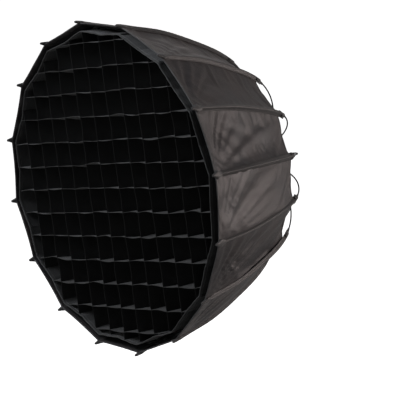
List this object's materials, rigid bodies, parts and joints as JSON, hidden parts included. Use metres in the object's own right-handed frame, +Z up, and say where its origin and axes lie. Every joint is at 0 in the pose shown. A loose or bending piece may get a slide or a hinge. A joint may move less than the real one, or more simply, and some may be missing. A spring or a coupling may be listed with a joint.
{
  "type": "octabox",
  "caption": "Folding parabolic softbox: black cloth dome on hinged curved ribs, egg-crate grid and diffuser in front, bayonet speed ring behind.",
  "frame": {"origin": "centre of the mount's mating face, where the flange of the bayonet plate meets the lamp", "axes": "+Y back along the mount axis towards the lamp, the light leaves towards -Y, +Z up"},
  "size_m": [0.8888, 0.59, 0.8888],
  "materials": {
    "mount_metal": "satin, lightly machined",
    "hub_casting": "black fine-texture powder coat",
    "steel": "zinc plated",
    "ring_plastic": "moulded, fine grain",
    "button_plastic": "moulded, fine grain",
    "knuckle_plastic": "glass-filled nylon",
    "rod_metal": "black coated spring-steel rod",
    "canopy_cloth": "coated black polyester, slight sheen",
    "tab_webbing": "black hook-and-loop webbing",
    "diffuser_cloth": "white translucent cloth",
    "grid_cloth": "black strips"
  },
  "bodies": {
    "speedring": {"mount_plate": "mount_metal", "hub_body": "hub_casting", "mount_screws": "steel", "hinge_pins": "steel", "canopy": "canopy_cloth", "front_diffuser": "diffuser_cloth", "grid": "grid_cloth", "inner_baffle": "diffuser_cloth", "button_springs": "steel"},
    "lock_ring": {"lock_ring": "ring_plastic"},
    "release_button_right": {"release_button_right": "button_plastic"},
    "release_button_left": {"release_button_left": "button_plastic"},
    "rib_01": {"rod_01": "rod_metal", "knuckle_01": "knuckle_plastic"},
    "rib_02": {"rod_02": "rod_metal", "knuckle_02": "knuckle_plastic"},
    "rib_03": {"rod_03": "rod_metal", "knuckle_03": "knuckle_plastic"},
    "rib_04": {"rod_04": "rod_metal", "knuckle_04": "knuckle_plastic"},
    "rib_05": {"rod_05": "rod_metal", "knuckle_05": "knuckle_plastic"},
    "rib_06": {"rod_06": "rod_metal", "knuckle_06": "knuckle_plastic"},
    "rib_07": {"rod_07": "rod_metal", "knuckle_07": "knuckle_plastic"},
    "rib_08": {"rod_08": "rod_metal", "knuckle_08": "knuckle_plastic"},
    "rib_09": {"rod_09": "rod_metal", "knuckle_09": "knuckle_plastic"},
    "rib_10": {"rod_10": "rod_metal", "knuckle_10": "knuckle_plastic"},
    "rib_11": {"rod_11": "rod_metal", "knuckle_11": "knuckle_plastic"},
    "rib_12": {"rod_12": "rod_metal", "knuckle_12": "knuckle_plastic"},
    "rib_13": {"rod_13": "rod_metal", "knuckle_13": "knuckle_plastic"},
    "rib_14": {"rod_14": "rod_metal", "knuckle_14": "knuckle_plastic"},
    "rib_15": {"rod_15": "rod_metal", "knuckle_15": "knuckle_plastic"},
    "rib_16": {"rod_16": "rod_metal", "knuckle_16": "knuckle_plastic"},
    "front_tab_01": {"front_tab_01": "tab_webbing"},
    "front_tab_02": {"front_tab_02": "tab_webbing"},
    "front_tab_03": {"front_tab_03": "tab_webbing"},
    "front_tab_04": {"front_tab_04": "tab_webbing"},
    "front_tab_05": {"front_tab_05": "tab_webbing"},
    "front_tab_06": {"front_tab_06": "tab_webbing"},
    "front_tab_07": {"front_tab_07": "tab_webbing"},
    "front_tab_08": {"front_tab_08": "tab_webbing"},
    "front_tab_09": {"front_tab_09": "tab_webbing"},
    "front_tab_10": {"front_tab_10": "tab_webbing"},
    "front_tab_11": {"front_tab_11": "tab_webbing"},
    "front_tab_12": {"front_tab_12": "tab_webbing"},
    "front_tab_13": {"front_tab_13": "tab_webbing"},
    "front_tab_14": {"front_tab_14": "tab_webbing"},
    "front_tab_15": {"front_tab_15": "tab_webbing"},
    "front_tab_16": {"front_tab_16": "tab_webbing"}
  },
  "joints": [
    {"name": "rib_01_fold", "type": "hinge", "parent": "speedring", "child": "rib_01", "pos_m": [-0.016, -0.038, 0.08042], "axis": [0.9808, 0, 0.1951], "range_deg": [0, 36.2], "deforming": ["canopy", "front_diffuser", "grid", "inner_baffle"]},
    {"name": "rib_02_fold", "type": "hinge", "parent": "speedring", "child": "rib_02", "pos_m": [0.016, -0.038, 0.08042], "axis": [0.9808, 0, -0.1951], "range_deg": [0, 36.2]},
    {"name": "rib_03_fold", "type": "hinge", "parent": "speedring", "child": "rib_03", "pos_m": [0.04556, -0.038, 0.06818], "axis": [0.8315, 0, -0.5556], "range_deg": [0, 36.2]},
    {"name": "rib_04_fold", "type": "hinge", "parent": "speedring", "child": "rib_04", "pos_m": [0.06818, -0.038, 0.04556], "axis": [0.5556, 0, -0.8315], "range_deg": [0, 36.2]},
    {"name": "rib_05_fold", "type": "hinge", "parent": "speedring", "child": "rib_05", "pos_m": [0.08042, -0.038, 0.016], "axis": [0.1951, 0, -0.9808], "range_deg": [0, 36.2]},
    {"name": "rib_06_fold", "type": "hinge", "parent": "speedring", "child": "rib_06", "pos_m": [0.08042, -0.038, -0.016], "axis": [-0.1951, 0, -0.9808], "range_deg": [0, 36.2]},
    {"name": "rib_07_fold", "type": "hinge", "parent": "speedring", "child": "rib_07", "pos_m": [0.06818, -0.038, -0.04556], "axis": [-0.5556, 0, -0.8315], "range_deg": [0, 36.2]},
    {"name": "rib_08_fold", "type": "hinge", "parent": "speedring", "child": "rib_08", "pos_m": [0.04556, -0.038, -0.06818], "axis": [-0.8315, 0, -0.5556], "range_deg": [0, 36.2]},
    {"name": "rib_09_fold", "type": "hinge", "parent": "speedring", "child": "rib_09", "pos_m": [0.016, -0.038, -0.08042], "axis": [-0.9808, 0, -0.1951], "range_deg": [0, 36.2]},
    {"name": "rib_10_fold", "type": "hinge", "parent": "speedring", "child": "rib_10", "pos_m": [-0.016, -0.038, -0.08042], "axis": [-0.9808, 0, 0.1951], "range_deg": [0, 36.2]},
    {"name": "rib_11_fold", "type": "hinge", "parent": "speedring", "child": "rib_11", "pos_m": [-0.04556, -0.038, -0.06818], "axis": [-0.8315, 0, 0.5556], "range_deg": [0, 36.2]},
    {"name": "rib_12_fold", "type": "hinge", "parent": "speedring", "child": "rib_12", "pos_m": [-0.06818, -0.038, -0.04556], "axis": [-0.5556, 0, 0.8315], "range_deg": [0, 36.2]},
    {"name": "rib_13_fold", "type": "hinge", "parent": "speedring", "child": "rib_13", "pos_m": [-0.08042, -0.038, -0.016], "axis": [-0.1951, 0, 0.9808], "range_deg": [0, 36.2]},
    {"name": "rib_14_fold", "type": "hinge", "parent": "speedring", "child": "rib_14", "pos_m": [-0.08042, -0.038, 0.016], "axis": [0.1951, 0, 0.9808], "range_deg": [0, 36.2]},
    {"name": "rib_15_fold", "type": "hinge", "parent": "speedring", "child": "rib_15", "pos_m": [-0.06818, -0.038, 0.04556], "axis": [0.5556, 0, 0.8315], "range_deg": [0, 36.2]},
    {"name": "rib_16_fold", "type": "hinge", "parent": "speedring", "child": "rib_16", "pos_m": [-0.04556, -0.038, 0.06818], "axis": [0.8315, 0, 0.5556], "range_deg": [0, 36.2]},
    {"name": "front_tab_01_fold", "type": "hinge", "parent": "rib_01", "child": "front_tab_01", "pos_m": [-0.0828, -0.507, 0.41624], "axis": [0.9808, 0, 0.1951], "range_deg": [0, 54.31]},
    {"name": "front_tab_02_fold", "type": "hinge", "parent": "rib_02", "child": "front_tab_02", "pos_m": [0.0828, -0.507, 0.41624], "axis": [0.9808, 0, -0.1951], "range_deg": [0, 54.31]},
    {"name": "front_tab_03_fold", "type": "hinge", "parent": "rib_03", "child": "front_tab_03", "pos_m": [0.23578, -0.507, 0.35288], "axis": [0.8315, 0, -0.5556], "range_deg": [0, 54.31]},
    {"name": "front_tab_04_fold", "type": "hinge", "parent": "rib_04", "child": "front_tab_04", "pos_m": [0.35288, -0.507, 0.23578], "axis": [0.5556, 0, -0.8315], "range_deg": [0, 54.31]},
    {"name": "front_tab_05_fold", "type": "hinge", "parent": "rib_05", "child": "front_tab_05", "pos_m": [0.41624, -0.507, 0.0828], "axis": [0.1951, 0, -0.9808], "range_deg": [0, 54.31]},
    {"name": "front_tab_06_fold", "type": "hinge", "parent": "rib_06", "child": "front_tab_06", "pos_m": [0.41624, -0.507, -0.0828], "axis": [-0.1951, 0, -0.9808], "range_deg": [0, 54.31]},
    {"name": "front_tab_07_fold", "type": "hinge", "parent": "rib_07", "child": "front_tab_07", "pos_m": [0.35288, -0.507, -0.23578], "axis": [-0.5556, 0, -0.8315], "range_deg": [0, 54.31]},
    {"name": "front_tab_08_fold", "type": "hinge", "parent": "rib_08", "child": "front_tab_08", "pos_m": [0.23578, -0.507, -0.35288], "axis": [-0.8315, 0, -0.5556], "range_deg": [0, 54.31]},
    {"name": "front_tab_09_fold", "type": "hinge", "parent": "rib_09", "child": "front_tab_09", "pos_m": [0.0828, -0.507, -0.41624], "axis": [-0.9808, 0, -0.1951], "range_deg": [0, 54.31]},
    {"name": "front_tab_10_fold", "type": "hinge", "parent": "rib_10", "child": "front_tab_10", "pos_m": [-0.0828, -0.507, -0.41624], "axis": [-0.9808, 0, 0.1951], "range_deg": [0, 54.31]},
    {"name": "front_tab_11_fold", "type": "hinge", "parent": "rib_11", "child": "front_tab_11", "pos_m": [-0.23578, -0.507, -0.35288], "axis": [-0.8315, 0, 0.5556], "range_deg": [0, 54.31]},
    {"name": "front_tab_12_fold", "type": "hinge", "parent": "rib_12", "child": "front_tab_12", "pos_m": [-0.35288, -0.507, -0.23578], "axis": [-0.5556, 0, 0.8315], "range_deg": [0, 54.31]},
    {"name": "front_tab_13_fold", "type": "hinge", "parent": "rib_13", "child": "front_tab_13", "pos_m": [-0.41624, -0.507, -0.0828], "axis": [-0.1951, 0, 0.9808], "range_deg": [0, 54.31]},
    {"name": "front_tab_14_fold", "type": "hinge", "parent": "rib_14", "child": "front_tab_14", "pos_m": [-0.41624, -0.507, 0.0828], "axis": [0.1951, 0, 0.9808], "range_deg": [0, 54.31]},
    {"name": "front_tab_15_fold", "type": "hinge", "parent": "rib_15", "child": "front_tab_15", "pos_m": [-0.35288, -0.507, 0.23578], "axis": [0.5556, 0, 0.8315], "range_deg": [0, 54.31]},
    {"name": "front_tab_16_fold", "type": "hinge", "parent": "rib_16", "child": "front_tab_16", "pos_m": [-0.23578, -0.507, 0.35288], "axis": [0.8315, 0, 0.5556], "range_deg": [0, 54.31]},
    {"name": "lock_ring_slide", "type": "slide", "parent": "speedring", "child": "lock_ring", "axis": [0, 1, 0], "range_m": [0, 0.00995]},
    {"name": "release_button_right_press", "type": "slide", "parent": "speedring", "child": "release_button_right", "axis": [-1, 0, 0], "range_m": [0, 0.003], "stiffness_N_per_m": 400, "springref_m": -0.002, "deforming": ["button_springs"]},
    {"name": "release_button_left_press", "type": "slide", "parent": "speedring", "child": "release_button_left", "axis": [1, 0, 0], "range_m": [0, 0.003], "stiffness_N_per_m": 400, "springref_m": -0.002, "deforming": ["button_springs"]}
  ],
  "couplings": [
    {"joint": "rib_02_fold", "follows": "rib_01_fold", "ratio": 1},
    {"joint": "rib_03_fold", "follows": "rib_01_fold", "ratio": 1},
    {"joint": "rib_04_fold", "follows": "rib_01_fold", "ratio": 1},
    {"joint": "rib_05_fold", "follows": "rib_01_fold", "ratio": 1},
    {"joint": "rib_06_fold", "follows": "rib_01_fold", "ratio": 1},
    {"joint": "rib_07_fold", "follows": "rib_01_fold", "ratio": 1},
    {"joint": "rib_08_fold", "follows": "rib_01_fold", "ratio": 1},
    {"joint": "rib_09_fold", "follows": "rib_01_fold", "ratio": 1},
    {"joint": "rib_10_fold", "follows": "rib_01_fold", "ratio": 1},
    {"joint": "rib_11_fold", "follows": "rib_01_fold", "ratio": 1},
    {"joint": "rib_12_fold", "follows": "rib_01_fold", "ratio": 1},
    {"joint": "rib_13_fold", "follows": "rib_01_fold", "ratio": 1},
    {"joint": "rib_14_fold", "follows": "rib_01_fold", "ratio": 1},
    {"joint": "rib_15_fold", "follows": "rib_01_fold", "ratio": 1},
    {"joint": "rib_16_fold", "follows": "rib_01_fold", "ratio": 1},
    {"joint": "front_tab_01_fold", "follows": "rib_01_fold", "ratio": 1.5},
    {"joint": "front_tab_02_fold", "follows": "rib_01_fold", "ratio": 1.5},
    {"joint": "front_tab_03_fold", "follows": "rib_01_fold", "ratio": 1.5},
    {"joint": "front_tab_04_fold", "follows": "rib_01_fold", "ratio": 1.5},
    {"joint": "front_tab_05_fold", "follows": "rib_01_fold", "ratio": 1.5},
    {"joint": "front_tab_06_fold", "follows": "rib_01_fold", "ratio": 1.5},
    {"joint": "front_tab_07_fold", "follows": "rib_01_fold", "ratio": 1.5},
    {"joint": "front_tab_08_fold", "follows": "rib_01_fold", "ratio": 1.5},
    {"joint": "front_tab_09_fold", "follows": "rib_01_fold", "ratio": 1.5},
    {"joint": "front_tab_10_fold", "follows": "rib_01_fold", "ratio": 1.5},
    {"joint": "front_tab_11_fold", "follows": "rib_01_fold", "ratio": 1.5},
    {"joint": "front_tab_12_fold", "follows": "rib_01_fold", "ratio": 1.5},
    {"joint": "front_tab_13_fold", "follows": "rib_01_fold", "ratio": 1.5},
    {"joint": "front_tab_14_fold", "follows": "rib_01_fold", "ratio": 1.5},
    {"joint": "front_tab_15_fold", "follows": "rib_01_fold", "ratio": 1.5},
    {"joint": "front_tab_16_fold", "follows": "rib_01_fold", "ratio": 1.5},
    {"joint": "lock_ring_slide", "follows": "rib_01_fold", "m_per_rad": 0.015735}
  ]
}
